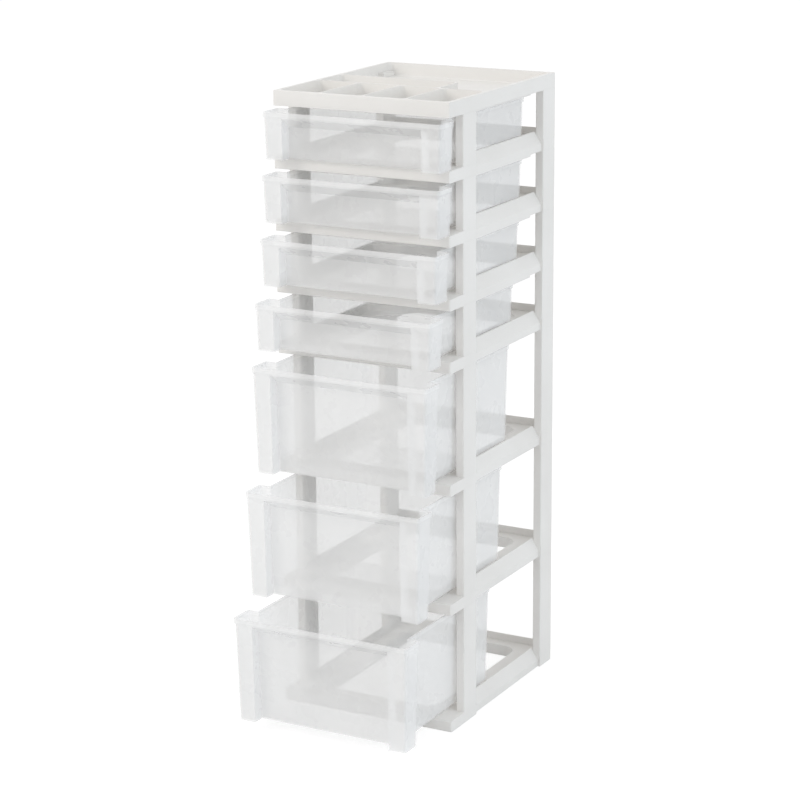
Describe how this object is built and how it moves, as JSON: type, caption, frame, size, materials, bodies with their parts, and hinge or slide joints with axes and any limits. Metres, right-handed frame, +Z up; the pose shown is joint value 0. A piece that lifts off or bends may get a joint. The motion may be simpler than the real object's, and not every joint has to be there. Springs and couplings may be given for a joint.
{
  "type": "plastic drawer tower",
  "caption": "Tall open frame of stacked plastic tiers carrying see-through sliding drawers, with a compartment tray on top for small craft supplies and parts.",
  "frame": {"origin": "on the floor, at the middle of the box round the tower and its open drawers", "axes": "+Z up, front of the drawers towards -Y, X across the tower"},
  "size_m": [0.3024, 0.5072, 0.98],
  "materials": {
    "frame_plastic": "opaque white moulded plastic, satin",
    "drawer_plastic": "translucent frosted moulded plastic"
  },
  "bodies": {
    "frame": {"organizer_tray": "frame_plastic", "tier_1": "frame_plastic", "post_1_front_left": "frame_plastic", "post_1_front_right": "frame_plastic", "post_1_back_left": "frame_plastic", "post_1_back_right": "frame_plastic", "tier_2": "frame_plastic", "post_2_front_left": "frame_plastic", "post_2_front_right": "frame_plastic", "post_2_back_left": "frame_plastic", "post_2_back_right": "frame_plastic", "tier_3": "frame_plastic", "post_3_front_left": "frame_plastic", "post_3_front_right": "frame_plastic", "post_3_back_left": "frame_plastic", "post_3_back_right": "frame_plastic", "tier_4": "frame_plastic", "post_4_front_left": "frame_plastic", "post_4_front_right": "frame_plastic", "post_4_back_left": "frame_plastic", "post_4_back_right": "frame_plastic", "tier_5": "frame_plastic", "post_5_front_left": "frame_plastic", "post_5_front_right": "frame_plastic", "post_5_back_left": "frame_plastic", "post_5_back_right": "frame_plastic", "tier_6": "frame_plastic", "post_6_front_left": "frame_plastic", "post_6_front_right": "frame_plastic", "post_6_back_left": "frame_plastic", "post_6_back_right": "frame_plastic", "base_tier": "frame_plastic", "post_7_front_left": "frame_plastic", "post_7_front_right": "frame_plastic", "post_7_back_left": "frame_plastic", "post_7_back_right": "frame_plastic"},
    "drawer_1": {"shallow_drawer_1": "drawer_plastic"},
    "drawer_2": {"shallow_drawer_2": "drawer_plastic"},
    "drawer_3": {"shallow_drawer_3": "drawer_plastic"},
    "drawer_4": {"shallow_drawer_4": "drawer_plastic"},
    "drawer_5": {"deep_drawer_5": "drawer_plastic"},
    "drawer_6": {"deep_drawer_6": "drawer_plastic"},
    "drawer_7": {"deep_drawer_7": "drawer_plastic"}
  },
  "joints": [
    {"name": "drawer_1_slide", "type": "slide", "parent": "frame", "child": "drawer_1", "axis": [0, -1, 0], "range_m": [-0.03, 0.21]},
    {"name": "drawer_2_slide", "type": "slide", "parent": "frame", "child": "drawer_2", "axis": [0, -1, 0], "range_m": [-0.036, 0.204]},
    {"name": "drawer_3_slide", "type": "slide", "parent": "frame", "child": "drawer_3", "axis": [0, -1, 0], "range_m": [-0.045, 0.195]},
    {"name": "drawer_4_slide", "type": "slide", "parent": "frame", "child": "drawer_4", "axis": [0, -1, 0], "range_m": [-0.065, 0.175]},
    {"name": "drawer_5_slide", "type": "slide", "parent": "frame", "child": "drawer_5", "axis": [0, -1, 0], "range_m": [-0.078, 0.162]},
    {"name": "drawer_6_slide", "type": "slide", "parent": "frame", "child": "drawer_6", "axis": [0, -1, 0], "range_m": [-0.104, 0.136]},
    {"name": "drawer_7_slide", "type": "slide", "parent": "frame", "child": "drawer_7", "axis": [0, -1, 0], "range_m": [-0.146, 0.094]}
  ]
}
